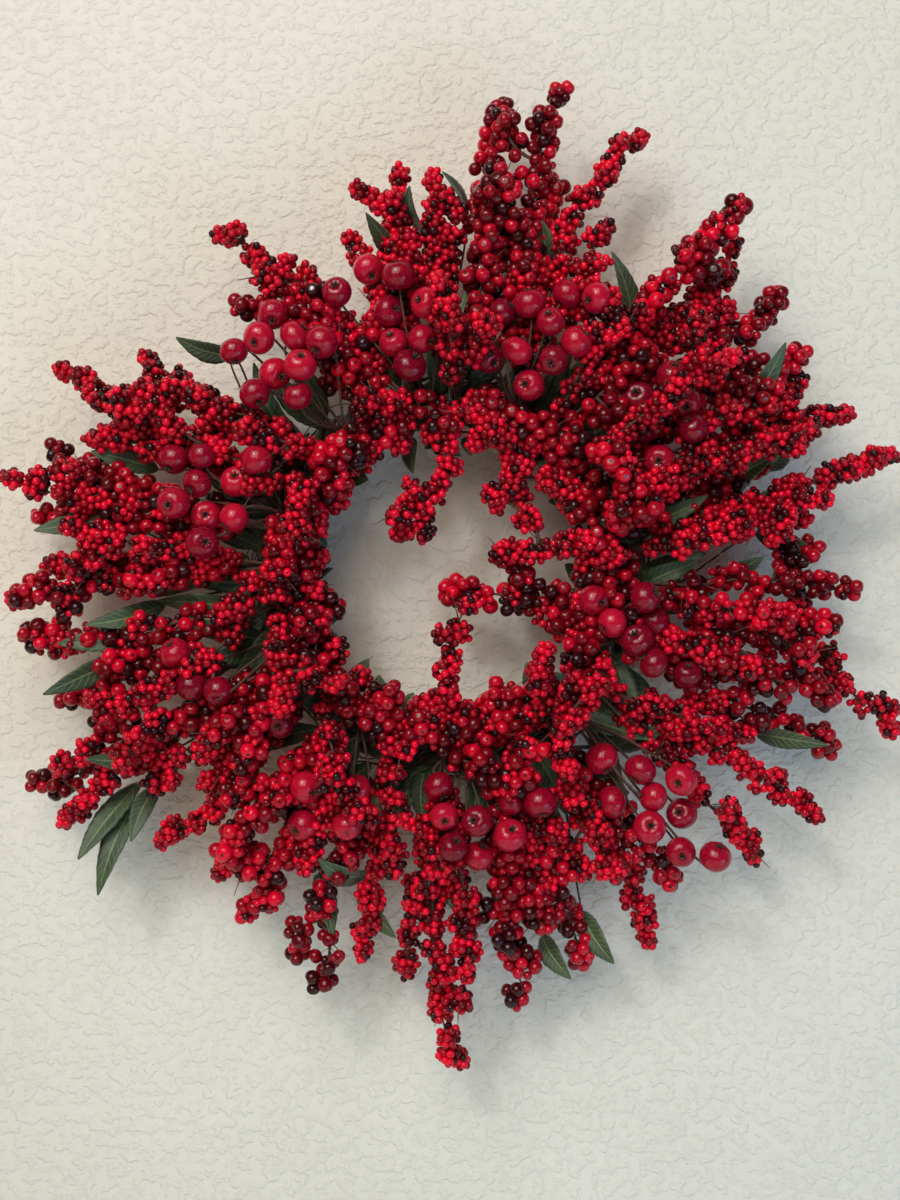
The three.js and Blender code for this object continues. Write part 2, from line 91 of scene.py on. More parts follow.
# Berry picks: the clock angle of the root on the ring, in degrees anticlockwise from +X, and the
# branches as (tip x, tip z, tip depth, sideways bow, kind).
BERRY_PICKS = [
    (357, [(290, -11, 60, 8, "medium"), (272, -32, 86, -6, "mixed"), (284, -58, 42, -8, "fine"),
           (53, -25, 66, -10, "medium")]),
    (340, [(330, -113, 60, 22, "fine"), (279, -91, 78, 4, "medium"), (286, -124, 50, -8, "medium"),
           (214, -58, 88, 4, "fine"), (-9, -11, 58, -12, "mixed")]),
    (322, [(268, -178, 62, 10, "fine"), (225, -210, 48, 6, "fine"), (200, -120, 76, 6, "fine")]),
    (303, [(167, -221, 62, -8, "medium"), (149, -265, 44, 4, "fine"), (116, -214, 80, 4, "fine")]),
    (284, [(97, -289, 42, 6, "medium"), (54, -312, 52, -6, "medium"), (40, -261, 70, 6, "medium"),
           (72, -225, 60, -4, "fine"), (65, -83, 72, 10, "medium")]),
    (268, [(10, -358, 56, -26, "fine"), (13, -291, 74, 4, "fine"), (-30, -294, 42, -6, "fine"),
           (62, -141, 92, -10, "mixed"), (15, -18, 84, 12, "fine")]),
    (250, [(-68, -277, 48, 4, "fine"), (-109, -284, 60, -6, "medium"), (-43, -214, 82, 6, "fine"),
           (-9, -85, 76, -8, "fine"), (-30, -123, 92, 6, "fine")]),
    (234, [(-146, -248, 62, 6, "mixed"), (-175, -222, 42, -6, "fine"), (-107, -215, 78, 6, "fine"),
           (-156, -199, 88, -6, "mixed")]),
    (220, [(-210, -199, 52, 6, "fine"), (-203, -145, 72, -6, "fine"), (-181, -152, 64, 4, "fine"),
           (-71, -96, 68, 10, "fine")]),
    (207, [(-310, -154, 40, 14, "medium"), (-283, -180, 62, -10, "fine"),
           (-210, -112, 76, 6, "medium"), (-145, -138, 96, -6, "mixed")]),
    (190, [(-286, -97, 42, -8, "medium"), (-311, -47, 52, 6, "mixed"), (-257, -91, 86, 26, "fine")]),
    (177, [(-315, -20, 66, -8, "mixed"), (-297, 9, 44, 6, "fine"), (-275, 33, 76, 4, "fine"),
           (-170, -32, 90, 10, "fine")]),
    (165, [(-322, 69, 60, 6, "fine"), (-304, 42, 50, -8, "medium"), (-290, 89, 44, 8, "medium"),
           (-127, -13, 92, 12, "fine"), (-80, -54, 60, -26, "medium")]),
    (151, [(-264, 98, 60, -6, "fine"), (-286, 151, 62, 10, "fine"), (-253, 127, 82, -4, "fine")]),
    (137, [(-228, 160, 48, 8, "fine"), (-203, 134, 78, -4, "fine"), (-152, 109, 92, 4, "fine")]),
    (119, [(-93, 192, 62, -6, "medium"), (-139, 232, 46, -8, "medium"), (-83, 52, 84, -8, "medium")]),
    (102, [(-170, 246, 62, -18, "fine"), (-151, 196, 70, -10, "medium"), (-75, 250, 46, -12, "fine"),
           (-39, 300, 44, 6, "fine"), (-37, 244, 60, 6, "fine"), (-69, 112, 94, -8, "fine")]),
    (87, [(-68, 284, 60, -24, "fine"), (-8, 294, 60, 8, "fine"), (39, 341, 48, 6, "medium"),
          (33, 291, 74, -6, "medium"), (36, 98, 84, 6, "fine"), (-40, 25, 78, 20, "fine")]),
    (71, [(79, 352, 60, 10, "medium"), (77, 289, 42, 4, "mixed"), (112, 253, 72, -4, "fine"),
          (137, 320, 52, 22, "fine")]),
    (54, [(207, 268, 74, 8, "mixed"), (214, 245, 46, -6, "fine"), (122, 198, 90, 8, "fine"),
          (138, 160, 84, -4, "medium")]),
    (37, [(199, 211, 62, 6, "fine"), (244, 207, 46, 6, "medium"), (257, 163, 62, -8, "medium"),
          (214, 163, 60, -4, "fine")]),
    (22, [(247, 127, 62, 6, "fine"), (265, 105, 82, 4, "fine"), (299, 125, 44, 8, "fine"),
          (192, 83, 92, 6, "fine"), (28, 62, 76, -14, "fine")]),
    (8, [(326, 85, 60, 8, "fine"), (232, 90, 42, 6, "medium"), (268, 52, 78, 4, "fine"),
         (214, 36, 90, -4, "fine"), (29, 12, 76, -10, "fine"), (94, 25, 90, 8, "fine")]),
]

# Short branches that every berry pick also has, to cover the ring: the turn along the ring from the
# pick's root to the tip, in degrees, then the tip's radius and depth, and the kind.
COLLAR = [
    (10, 94, 72, "fine"),
    (-13, 106, 80, "medium"),
]

# Front sprays, each a single stem that bends forward on its own joint.
FRONT_SPRAYS = [
    (89, (0, 208, 112, 4, "fine")),
    (41, (197, 146, 112, 6, "fine")),
    (12, (104, 92, 118, -6, "mixed")),
    (336, (80, -134, 114, -18, "fine")),
    (300, (69, -47, 108, 6, "fine")),
    (222, (-49, -175, 114, -10, "fine")),
    (192, (-120, -98, 112, 16, "fine")),
    (147, (-102, 22, 110, -6, "fine")),
]

# Crab apple picks: root clock, depth of the lowest apple and the apples' (x, z).
APPLE_PICKS = [
    (128, 84, [(-125, 184), (-107, 167), (-91, 162), (-153, 158), (-134, 166), (-104, 146),
               (-124, 142), (-137, 127), (-106, 124)]),
    (98, 80, [(-58, 217), (-80, 199), (-36, 209), (-43, 187), (-20, 165), (-17, 190), (-40, 165),
              (-28, 148)]),
    (68, 84, [(37, 186), (56, 190), (70, 176), (83, 198), (103, 194), (88, 162), (27, 153),
              (47, 157), (72, 149), (56, 134)]),
    (160, 82, [(-196, 82), (-174, 84), (-135, 80), (-152, 66), (-178, 64), (-193, 50), (-173, 42),
               (-152, 40), (-173, 22)]),
    (36, 80, [(139, 104), (148, 80), (156, 138), (133, 126), (166, 122), (170, 102)]),
    (346, 84, [(102, -19), (114, -34), (136, -16), (144, -35), (124, -52), (140, -58), (168, -70)]),
    (201, 80, [(-195, -56), (-182, -78), (-162, -82), (-150, -101), (-121, -104)]),
    (274, 84, [(-8, -150), (-4, -170), (19, -172), (42, -160), (63, -160), (2, -190), (20, -199),
               (42, -183)]),
    (311, 78, [(108, -131), (135, -139), (162, -144), (115, -162), (143, -156), (140, -177),
               (165, -170), (163, -196), (186, -198)]),
    (240, 80, [(-104, -178), (-102, -150), (-72, -176), (-66, -152)]),
]

# Leaf sprigs: root clock and the leaves as (base x, base z, tip x, tip z).
LEAF_SPRIGS = [
    (148, [(-193, 102, -244, 104), (-215, 78, -253, 88), (-158, 163, -192, 170),
           (-157, 113, -182, 87), (-164, 160, -144, 171)]),
    (183, [(-254, 40, -291, 33), (-232, 36, -268, 43), (-210, -20, -251, -33),
           (-226, -41, -272, -47), (-242, -62, -282, -82)]),
    (213, [(-228, -152, -260, -194), (-231, -165, -249, -220), (-215, -154, -227, -183),
           (-220, -138, -253, -132)]),
    (256, [(-57, -219, -88, -204), (-98, -219, -86, -251), (-62, -239, -44, -259),
           (-22, -207, 10, -244)]),
    (302, [(84, -156, 104, -184), (68, -265, 83, -286), (97, -248, 115, -275),
           (120, -127, 148, -112), (153, -123, 166, -100)]),
    (352, [(199, -2, 218, 9), (225, 33, 261, 17), (225, -116, 260, -121), (212, 45, 236, 62)]),
    (44, [(134, 176, 119, 220), (130, 168, 99, 140), (202, 117, 233, 155), (206, 75, 228, 84),
          (233, 78, 241, 93)]),
    (93, [(-40, 230, -57, 251), (14, 263, -3, 282), (70, 223, 67, 251), (-20, 254, -28, 272),
          (42, 238, 38, 262)]),
]


@dataclass
class Kind:
    """How one kind of berry spray is made. Lengths are millimetres."""

    sizes: tuple  # (share of the berries, radius)
    per_mm: float  # berries to each millimetre of stem
    shell: float  # how far their centres stand from the stem
    clump: float  # length of stem to each clump of them
    tints: tuple  # the usual range, from deep red at 0.3 to scarlet at 1
    dark_share: float  # scattered berries that are nearly black


KINDS = {
    "fine": Kind(((1.0, 2.95),), 1.3, 6.5, 12, (0.34, 1.0), 0.09),
    "medium": Kind(((0.15, 3.4), (0.85, 5.0)), 0.42, 7.2, 16, (0.3, 0.85), 0.1),
    "mixed": Kind(((0.66, 2.95), (0.34, 5.4)), 0.82, 7.2, 14, (0.34, 0.95), 0.1),
}
BIG_BERRY_R = 4  # berries over this get the finer mesh
BARE_SHARE = 0.16  # of a branch, next to its root
CROWD_OUT = 0.82  # under 1, so the berries thicken towards the tip
WANDER = 3.5  # millimetres that a stem strays from its smooth line
SPRIG_GAP = 170  # millimetres of stem to each side sprig
SPRIG_LENGTHS = (26, 48)
CLUMP_PULL = 0.55  # how far the berries draw together into clumps along the stem
CLUMP_STRAY = 2.8  # millimetres that a clump hangs off its stem
PATCH_LENGTH = 9  # a run of near-black berries
PATCH_GAP = 90  # millimetres of stem to each such run
PATCH_DARK_SHARE = 0.45


# ---- Places and paths ----
def place(x, z, depth):
    """A point from the ring's centre, at a distance from the wall."""
    return np.array([x, WALL_Y - depth, RING_Z + z]) * MM


def on_ring(clock, radius, depth):
    angle = math.radians(clock)
    return place(radius * math.cos(angle), radius * math.sin(angle), depth)


def unit(vectors):
    return vectors / (np.linalg.norm(vectors, axis=-1, keepdims=True) + 1e-12)


def bezier(start, first, second, end, steps=48):
    t = np.linspace(0, 1, steps)[:, None]
    return (1 - t) ** 3 * start + 3 * (1 - t) ** 2 * t * first + 3 * (1 - t) * t**2 * second + t**3 * end


def branch_points(root, branch):
    """The stem of a branch: it rises clear of the vines and runs out to its tip, as in the CAD model."""
    x, z, depth, bow, _ = branch
    start = on_ring(root, RING_R, ROOT_DEPTH)
    end = place(x, z, depth)
    run = (end - start) * np.array([1, 0, 1])
    side = unit(np.array([-run[2], 0, run[0]]))
    crest = max(ROOT_DEPTH, depth) + 8
    first = start + 0.3 * run
    first[1] = (WALL_Y - crest) * MM
    second = start + 0.7 * run + side * bow * 1.5 * MM
    second[1] = (WALL_Y - (0.7 * depth + 0.3 * crest)) * MM
    return bezier(start, first, second, end)


def collar_branches(root):
    """A pick's short branches, in the form of its long ones."""
    branches = []
    for turn, radius, depth, kind in COLLAR:
        clock = math.radians(root + turn)
        branches.append((radius * math.cos(clock), radius * math.sin(clock), depth, 0, kind))
    return branches


class Path:
    """A line of points that can be read at any share of its length."""

    def __init__(self, points):
        self.points = points
        steps = np.linalg.norm(np.diff(points, axis=0), axis=1)
        self.reach = np.concatenate([[0], np.cumsum(steps)])
        self.length = self.reach[-1]

    def at(self, shares):
        where = np.clip(shares, 0, 1) * self.length
        return np.stack([np.interp(where, self.reach, self.points[:, axis]) for axis in range(3)], -1)

    def direction(self, shares):
        return unit(self.at(np.minimum(shares + 0.02, 1)) - self.at(np.maximum(shares - 0.02, 0)))


def frames_along(points, closed):
    """Unit vectors across and up from a line, turning with it as little as they can."""
    ahead = np.roll(points, -1, 0) - np.roll(points, 1, 0) if closed else np.gradient(points, axis=0)
    ahead = unit(ahead)
    if closed:
        across = unit(np.cross(ahead, FRONT))
    else:
        across = np.empty_like(points)
        helper = np.eye(3)[np.argmin(np.abs(ahead[0]))]
        across[0] = unit(np.cross(ahead[0], helper))
        for i in range(1, len(points)):
            across[i] = unit(across[i - 1] - np.dot(across[i - 1], ahead[i]) * ahead[i])
    return across, np.cross(ahead, across)


# ---- Shells of triangles ----
def skin(rings, first, last):
    """Triangles round a stack of rings, closed by a point at each end."""
    count, sides = rings.shape[:2]
    points = np.concatenate([rings.reshape(-1, 3), [first, last]])
    here = np.arange(sides)
    after = (here + 1) % sides
    triangles = band(count - 1, sides)
    start = np.full(sides, count * sides)
    top = (count - 1) * sides
    triangles.append(np.stack([start, after, here], 1))
    triangles.append(np.stack([start + 1, top + here, top + after], 1))
    return points, np.concatenate(triangles)


def band(levels, sides):
    here = np.arange(sides)
    after = (here + 1) % sides
    triangles = []
    for level in range(levels):
        a, b = level * sides + here, level * sides + after
        triangles.append(np.stack([a, b, b + sides], 1))
        triangles.append(np.stack([a, b + sides, a + sides], 1))
    return triangles


def circled(around, across, up):
    """Unit vectors at angles around a line, given the ones across and up from it."""
    return np.cos(around)[..., None] * across + np.sin(around)[..., None] * up


def rings_along(points, radii, sides, frames):
    across, up = frames
    around = np.arange(sides) * TURN / sides
    spokes = circled(around, across[:, None], up[:, None])
    return points[:, None] + np.broadcast_to(radii, len(points))[:, None, None] * spokes


def tube(points, radii, sides=6):
    """A rod along an open line."""
    return skin(rings_along(points, radii, sides, frames_along(points, closed=False)), points[0], points[-1])


def hoop(points, radii, sides=6, frames=None):
    """A rod along a closed line."""
    rings = rings_along(points, radii, sides, frames or frames_along(points, closed=True))
    triangles = np.concatenate(band(len(points), sides)) % (len(points) * sides)
    return rings.reshape(-1, 3), triangles


def ball(subdivisions):
    """A unit ball with a small hollow at +Z, where the blossom was."""
    sphere = bmesh.new()
    bmesh.ops.create_icosphere(sphere, subdivisions=subdivisions, radius=1)
    points = np.array([vertex.co for vertex in sphere.verts])
    triangles = np.array([[vertex.index for vertex in face.verts] for face in sphere.faces])
    sphere.free()
    hollow = 1 - 0.17 * np.clip((points[:, 2:] - 0.82) / 0.18, 0, 1)
    return points * hollow, triangles


def apple(sides=22, levels=16):
    """A unit crab apple with its calyx at +Z: broad, dimpled at both ends and faintly ribbed."""
    polar = math.pi * (0.5 + 0.5 * np.cos(math.pi * np.linspace(0.02, 0.98, levels)))
    around = np.arange(sides) * TURN / sides
    dimple = 1 - 0.36 * np.exp(-((polar / 0.32) ** 2)) - 0.22 * np.exp(-(((math.pi - polar) / 0.28) ** 2))
    ribs = 1 + 0.022 * np.cos(5 * around) * np.exp(-((polar[:, None] / 1.1) ** 2))
    radius = dimple[:, None] * ribs
    wide = radius * np.sin(polar)[:, None]
    high = 0.93 * radius * np.cos(polar)[:, None]
    rings = np.stack([wide * np.cos(around), wide * np.sin(around), high], -1)
    return skin(rings, rings[0].mean(0), rings[-1].mean(0))


def turned(axes, spins):
    """Rotations that take +Z to each axis, after a spin about it."""
    helper = np.where(np.abs(axes[:, 2:]) < 0.9, [[0, 0, 1]], [[1, 0, 0]])
    x = unit(np.cross(helper, axes))
    y = np.cross(axes, x)
    cos, sin = np.cos(spins)[:, None], np.sin(spins)[:, None]
    return np.stack([x * cos + y * sin, y * cos - x * sin, axes], -1)


def add_object(name, data):
    """Puts a new object into the scene."""
    made = bpy.data.objects.new(name, data)
    bpy.context.scene.collection.objects.link(made)
    return made


class Piece:
    """Gathers shells for one object. Each vertex keeps a tint and its place in its own shell's frame."""

    def __init__(self):
        self.points, self.triangles, self.tints, self.owns, self.finishes = [], [], [], [], []
        self.count = 0

    def add(self, shell, tint=0.5, own=None, finish=0):
        points, triangles = shell
        self.points.append(points)
        self.triangles.append(triangles + self.count)
        self.tints.append(np.broadcast_to(tint, len(points)))
        self.owns.append(np.zeros_like(points) if own is None else own)
        self.finishes.append(np.broadcast_to(finish, len(triangles)))
        self.count += len(points)

    def add_copies(self, shape, centres, sizes, turns, tints, finish=0):
        """Adds a copy of a unit shape at each centre; sizes has one number for each axis."""
        points, triangles = shape
        copies = len(centres)
        world = centres[:, None] + np.einsum("nij,nkj->nki", turns, points[None] * sizes[:, None])
        offsets = np.arange(copies)[:, None, None] * len(points)
        shell = world.reshape(-1, 3), (triangles[None] + offsets).reshape(-1, 3)
        self.add(shell, np.repeat(tints, len(points)), np.tile(points, (copies, 1)), finish)

    def build(self, name, materials, body, slot, *replaced):
        """Makes the object, which rides on a body and stands for CAD nodes."""
        points, triangles = np.concatenate(self.points), np.concatenate(self.triangles)
        mesh = bpy.data.meshes.new(name)
        mesh.vertices.add(len(points))
        mesh.vertices.foreach_set("co", points.astype(np.float32).ravel())
        mesh.loops.add(3 * len(triangles))
        mesh.loops.foreach_set("vertex_index", triangles.astype(np.int32).ravel())
        mesh.polygons.add(len(triangles))
        mesh.polygons.foreach_set("loop_start", np.arange(len(triangles), dtype=np.int32) * 3)
        mesh.polygons.foreach_set("material_index", np.concatenate(self.finishes).astype(np.int32))
        for material in materials:
            mesh.materials.append(material)
        tint = mesh.attributes.new("tint", "FLOAT", "POINT")
        tint.data.foreach_set("value", np.concatenate(self.tints).astype(np.float32))
        own = mesh.attributes.new("own", "FLOAT_VECTOR", "POINT")
        own.data.foreach_set("vector", np.concatenate(self.owns).astype(np.float32).ravel())
        mesh.update(calc_edges=True)
        mesh.shade_smooth()
        made = add_object(name, mesh)
        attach(made, body)
        if replaced:
            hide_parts(*replaced)
        return made


# ---- Materials ----
class Shade:
    """Adds and joins the nodes of one material."""

    def __init__(self, name, **sockets):
        self.material = bpy.data.materials.new(name)
        self.material.use_nodes = True
        self.tree = self.material.node_tree
        self.shader = self.tree.nodes["Principled BSDF"]
        self.set(self.shader, {socket.replace("_", " "): value for socket, value in sockets.items()})

    def set(self, node, inputs):
        for name, value in inputs.items():
            if isinstance(value, bpy.types.NodeSocket):
                self.tree.links.new(value, node.inputs[name])
            else:
                node.inputs[name].default_value = value

    def add(self, kind, inputs, output=0, **settings):
        node = self.tree.nodes.new("ShaderNode" + kind)
        for name, value in settings.items():
            setattr(node, name, value)
        self.set(node, inputs)
        return node.outputs[output]

    def attribute(self, name, output):
        return self.add("Attribute", {}, output, attribute_name=name)

    def noise(self, scale, detail=3, stretch=(1, 1, 1), vector=None):
        where = vector or self.add("TexCoord", {}, "Object")
        if stretch != (1, 1, 1):
            where = self.add("Mapping", {"Vector": where, "Scale": stretch})
        return self.add("TexNoise", {"Vector": where, "Scale": scale, "Detail": detail})

    def math(self, operation, a, b=0.0, c=0.0):
        return self.add("Math", {0: a, 1: b, 2: c}, operation=operation)

    def between(self, value, low, high, to_low=0.0, to_high=1.0):
        """value, taken from one range to another and kept inside it."""
        ranges = {"Value": value, "From Min": low, "From Max": high, "To Min": to_low, "To Max": to_high}
        return self.add("MapRange", ranges)

    def ramp(self, factor, stops):
        output = self.add("ValToRGB", {"Fac": factor})
        elements = output.node.color_ramp.elements
        while len(elements) < len(stops):
            elements.new(0.5)
        for element, (position, colour) in zip(elements, stops):
            element.position = position
            element.color = (*colour, 1)
        return output

    def mix(self, factor, a, b):
        """One colour into another; each is a socket or three numbers."""
        a, b = ((*colour, 1) if isinstance(colour, tuple) else colour for colour in (a, b))
        return self.add("Mix", {0: factor, 6: a, 7: b}, 2, data_type="RGBA")

    def spot(self, own, low, high, colour, dark):
        """A dark spot at the +Z end of a ball, over its colour."""
        outward = self.add("VectorMath", {0: own}, operation="NORMALIZE")
        height = self.add("SeparateXYZ", {"Vector": outward}, "Z")
        return self.mix(self.between(height, low, high), colour, dark)

    def bump(self, height, distance, strength=1.0):
        normal = self.add("Bump", {"Height": height, "Distance": distance, "Strength": strength})
        self.set(self.shader, {"Normal": normal})

    def finish(self, colour, roughness):
        self.set(self.shader, {"Base Color": colour, "Roughness": roughness})
        return self.material


NEAR_BLACK = (0.02, 0.003, 0.005)


def berry_material(name, deep, bright, gloss):
    """Painted foam berries: mottled lacquer, a few nearly black, with a brown speck at the blossom end."""
    shade = Shade(name, Coat_Weight=gloss, Coat_Roughness=0.06, Specular_IOR_Level=0.06)
    mottle = shade.noise(260, 4)
    evened = shade.math("SUBTRACT", shade.attribute("tint", "Fac"), 0.12)
    tint = shade.math("MULTIPLY_ADD", mottle, 0.24, evened)
    burgundy = tuple(0.3 * channel for channel in deep)
    paint = shade.ramp(tint, [(0.04, NEAR_BLACK), (0.2, burgundy), (0.45, deep), (0.95, bright)])
    colour = shade.spot(shade.attribute("own", "Vector"), 0.955, 0.985, paint, (0.03, 0.012, 0.008))
    shade.bump(shade.noise(1400, 2), 0.00012, 0.6)
    return shade.finish(colour, shade.between(mottle, 0.3, 0.7, 0.24, 0.42))


def apple_material():
    """Lacquered crimson apples: streaks from end to end, pale flecks and a brown calyx."""
    shade = Shade("crab_apple", Coat_Weight=0.5, Coat_Roughness=0.12, Specular_IOR_Level=0.1)
    own = shade.attribute("own", "Vector")
    streaks = shade.noise(3.2, 4, stretch=(3, 3, 0.7), vector=own)
    half_tint = shade.math("MULTIPLY", shade.attribute("tint", "Fac"), 0.5)
    base = shade.math("MULTIPLY_ADD", streaks, 0.7, half_tint)
    crimsons = [(0.35, (0.08, 0.001, 0.008)), (0.6, (0.25, 0.002, 0.016)), (0.85, (0.47, 0.005, 0.028))]
    skin_colour = shade.ramp(base, crimsons)
    cells = shade.add("TexVoronoi", {"Vector": own, "Scale": 7.5, "Randomness": 1.0}, "Distance")
    flecks = shade.between(cells, 0.05, 0.1, 0.35, 0.0)
    flecked = shade.mix(flecks, skin_colour, (0.6, 0.2, 0.15))
    colour = shade.spot(own, 0.965, 0.99, flecked, (0.02, 0.01, 0.006))
    shade.bump(shade.noise(420, 3), 0.00025, 0.5)
    return shade.finish(colour, shade.between(streaks, 0.3, 0.7, 0.2, 0.38))


def leaf_material(name, dark, light, vein, roughness):
    """Printed leaf cloth: paler midrib and side veins on a mottled green, with a fine weave."""
    shade = Shade(name, Sheen_Weight=0.15, Sheen_Roughness=0.5)
    own = shade.attribute("own", "Vector")
    split = shade.add("SeparateXYZ", {"Vector": own}, "X").node
    across = shade.math("ABSOLUTE", split.outputs["X"])
    midrib = shade.between(across, 0.04, 0.11, 1.0, 0.0)
    slant = shade.math("MULTIPLY_ADD", split.outputs["Y"], 11.0, shade.math("MULTIPLY", across, -1.7))
    stripe = shade.math("PINGPONG", slant, 0.5)
    side_veins = shade.between(stripe, 0.02, 0.09, 0.75, 0.0)
    veins = shade.math("MAXIMUM", midrib, side_veins)
    mottle = shade.ramp(shade.noise(90, 5), [(0.3, dark), (0.72, light)])
    weave = shade.noise(2600, 1)
    shade.bump(shade.math("MULTIPLY_ADD", weave, 0.25, veins), 0.00035, 0.7)
    colour = shade.mix(veins, mottle, vein)
    return shade.finish(colour, shade.between(weave, 0.3, 0.7, roughness, roughness + 0.16))


def bark_material(name, dark, light, scale, roughness):
    """Rough bark: long fissures over a patchy brown."""
    shade = Shade(name)
    fissures = shade.noise(scale * 3, 5)
    patches = shade.noise(scale, 3)
    blend = shade.math("MULTIPLY_ADD", fissures, 0.6, shade.math("MULTIPLY", patches, 0.4))
    colour = shade.ramp(blend, [(0.36, dark), (0.64, light)])
    shade.bump(fissures, 0.0009, 0.8)
    return shade.finish(colour, shade.between(fissures, 0.3, 0.7, roughness - 0.1, roughness + 0.1))


def wire_material():
    """Green painted florist's wire, rubbed to bare metal here and there."""
    shade = Shade("florist_wire", Metallic=0.55)
    wear = shade.noise(900, 4)
    colour = shade.ramp(wear, [(0.45, (0.03, 0.04, 0.028)), (0.7, (0.2, 0.2, 0.18))])
    shade.bump(wear, 0.0001, 0.5)
    return shade.finish(colour, shade.between(wear, 0.3, 0.7, 0.35, 0.55))


BERRY_MATERIALS = {
    "fine": berry_material("berry_fine", (0.19, 0.001, 0.007), (0.78, 0.002, 0.026), 0.42),
    "medium": berry_material("berry_medium", (0.16, 0.001, 0.006), (0.62, 0.002, 0.022), 0.6),
    "mixed": berry_material("berry_mixed", (0.19, 0.001, 0.007), (0.72, 0.002, 0.025), 0.52),
}
STEM = bark_material("berry_stem", (0.03, 0.012, 0.009), (0.12, 0.05, 0.032), 500, 0.6)
TWIG = bark_material("red_twig", (0.07, 0.012, 0.012), (0.22, 0.07, 0.05), 500, 0.55)
VINE = bark_material("vine_bark", (0.014, 0.008, 0.005), (0.085, 0.05, 0.03), 180, 0.8)
APPLE = apple_material()
CALYX = bark_material("apple_calyx", (0.016, 0.009, 0.006), (0.1, 0.06, 0.035), 600, 0.7)
LEAF_TOP = leaf_material("leaf_top", (0.02, 0.04, 0.017), (0.05, 0.088, 0.034), (0.15, 0.2, 0.085), 0.42)
LEAF_UNDER = leaf_material("leaf_under", (0.05, 0.08, 0.045), (0.09, 0.13, 0.07), (0.2, 0.24, 0.14), 0.6)
WIRE = wire_material()


# ---- Growing the berries ----
@dataclass
class Crowd:
    """Balls that press on one another: berries, apples and the room that moving pieces need."""

    centres: list
    radii: list
    homes: list  # where each is held
    reaches: list  # how far from its home each wants to be
    loose: list  # 0 for what can't be pushed
    owners: list  # room that is kept for a spray doesn't push that spray's own berries
    owner: int = 0

    def add(self, centres, radii, homes, reaches, loose):
        start = sum(len(part) for part in self.radii)
        self.centres.append(centres)
        self.radii.append(np.broadcast_to(radii, len(centres)))
        self.homes.append(homes)
        self.reaches.append(np.broadcast_to(reaches, len(centres)))
        self.loose.append(np.broadcast_to(loose, len(centres)))
        self.owners.append(np.full(len(centres), self.owner))
        return slice(start, start + len(centres))


HANGER, APPLES = -2, -1  # owners in the crowd; a berry pick or front spray is known by its number
CONTACT = 0.96  # berries of soft foam press slightly into one another
SETTLE_ROUNDS = 28
SEARCH_EVERY = 7  # rounds from one search for neighbours to the next
PUSH = 0.55  # the share of an overlap that one round takes away
SPRING = 0.12  # the share of its way home that a ball goes in one round


def near_pairs(centres, radii):
    """Pairs of balls that touch or soon may, the larger one first."""
    tree = KDTree(len(centres))
    for i, centre in enumerate(centres):
        tree.insert(centre, i)
    tree.balance()
    pairs = []
    for i, centre in enumerate(centres):
        for _, j, _ in tree.find_range(centre, 2.2 * radii[i]):
            if (radii[j], j) < (radii[i], i):
                pairs.append((i, j))
    return np.array(pairs).T


def settle(crowd):
    """Pushes overlapping balls apart, while each is drawn back to its own distance from its home."""
    parts = (crowd.centres, crowd.radii, crowd.homes, crowd.reaches, crowd.loose, crowd.owners)
    centres, radii, homes, reaches, loose, owners = (np.concatenate(part) for part in parts)
    ease = loose / radii**3
    for turn in range(SETTLE_ROUNDS):
        if turn % SEARCH_EVERY == 0:
            first, second = near_pairs(centres, radii)
            own_room = (owners[first] == owners[second]) & (loose[first] * loose[second] == 0)
            first, second = first[~own_room], second[~own_room]
            share = (ease[first] / (ease[first] + ease[second] + 1e-12))[:, None]
        gap = centres[second] - centres[first]
        distance = np.linalg.norm(gap, axis=1, keepdims=True) + 1e-9
        overlap = np.clip((radii[first] + radii[second])[:, None] * CONTACT - distance, 0, None)
        push = overlap * gap / distance
        move = np.zeros_like(centres)
        np.add.at(move, first, -push * share)
        np.add.at(move, second, push * (1 - share))
        centres = centres + PUSH * move
        away = centres - homes
        reach = np.linalg.norm(away, axis=1) + 1e-9
        centres = centres + (loose * SPRING * (reaches / reach - 1))[:, None] * away
        centres[:, 1] = np.minimum(centres[:, 1], (WALL_Y - 2) * MM - radii)
    return centres


@dataclass
class Branch:
    """One stem and the berries on it."""

    material: int
    path: Path
    feet: np.ndarray  # where each berry's stalk leaves the stem
    radii: np.ndarray
    tints: np.ndarray
    berries: slice  # its berries in the crowd


def wave(shares, rng, turns):
    """A smooth random wave between -1 and 1, with about so many turns along the branch."""
    phases = rng.uniform(0, TURN, 3)
    return sum(np.sin(TURN * turns * (1 + 0.37 * i) * shares + phases[i]) for i in range(3)) / 3


def wandering(points, rng):
    """A line that strays a little from a smooth one, more and more towards its tip."""
    shares = np.linspace(0, 1, len(points))
    away = np.stack([wave(shares, rng, 1.6) for _ in range(3)], -1) * [1, 0.5, 1]
    return points + WANDER * MM * np.sqrt(shares)[:, None] * away


def side_sprig(path, rng):
    """The stem of a short sprig that leaves its branch at a slant."""
    share = rng.uniform(0.3, 0.8)
    length = rng.uniform(*SPRIG_LENGTHS) * MM
    start = path.at(share)
    ahead = path.direction(share)
    aside = unit(np.cross(ahead, FRONT)) * rng.choice([-1, 1])
    end = start + length * unit(ahead + rng.uniform(0.5, 1.1) * aside + rng.uniform(-0.25, 0.25) * FRONT)
    return bezier(start, start + 0.4 * length * aside, end - 0.4 * length * ahead, end, 20)


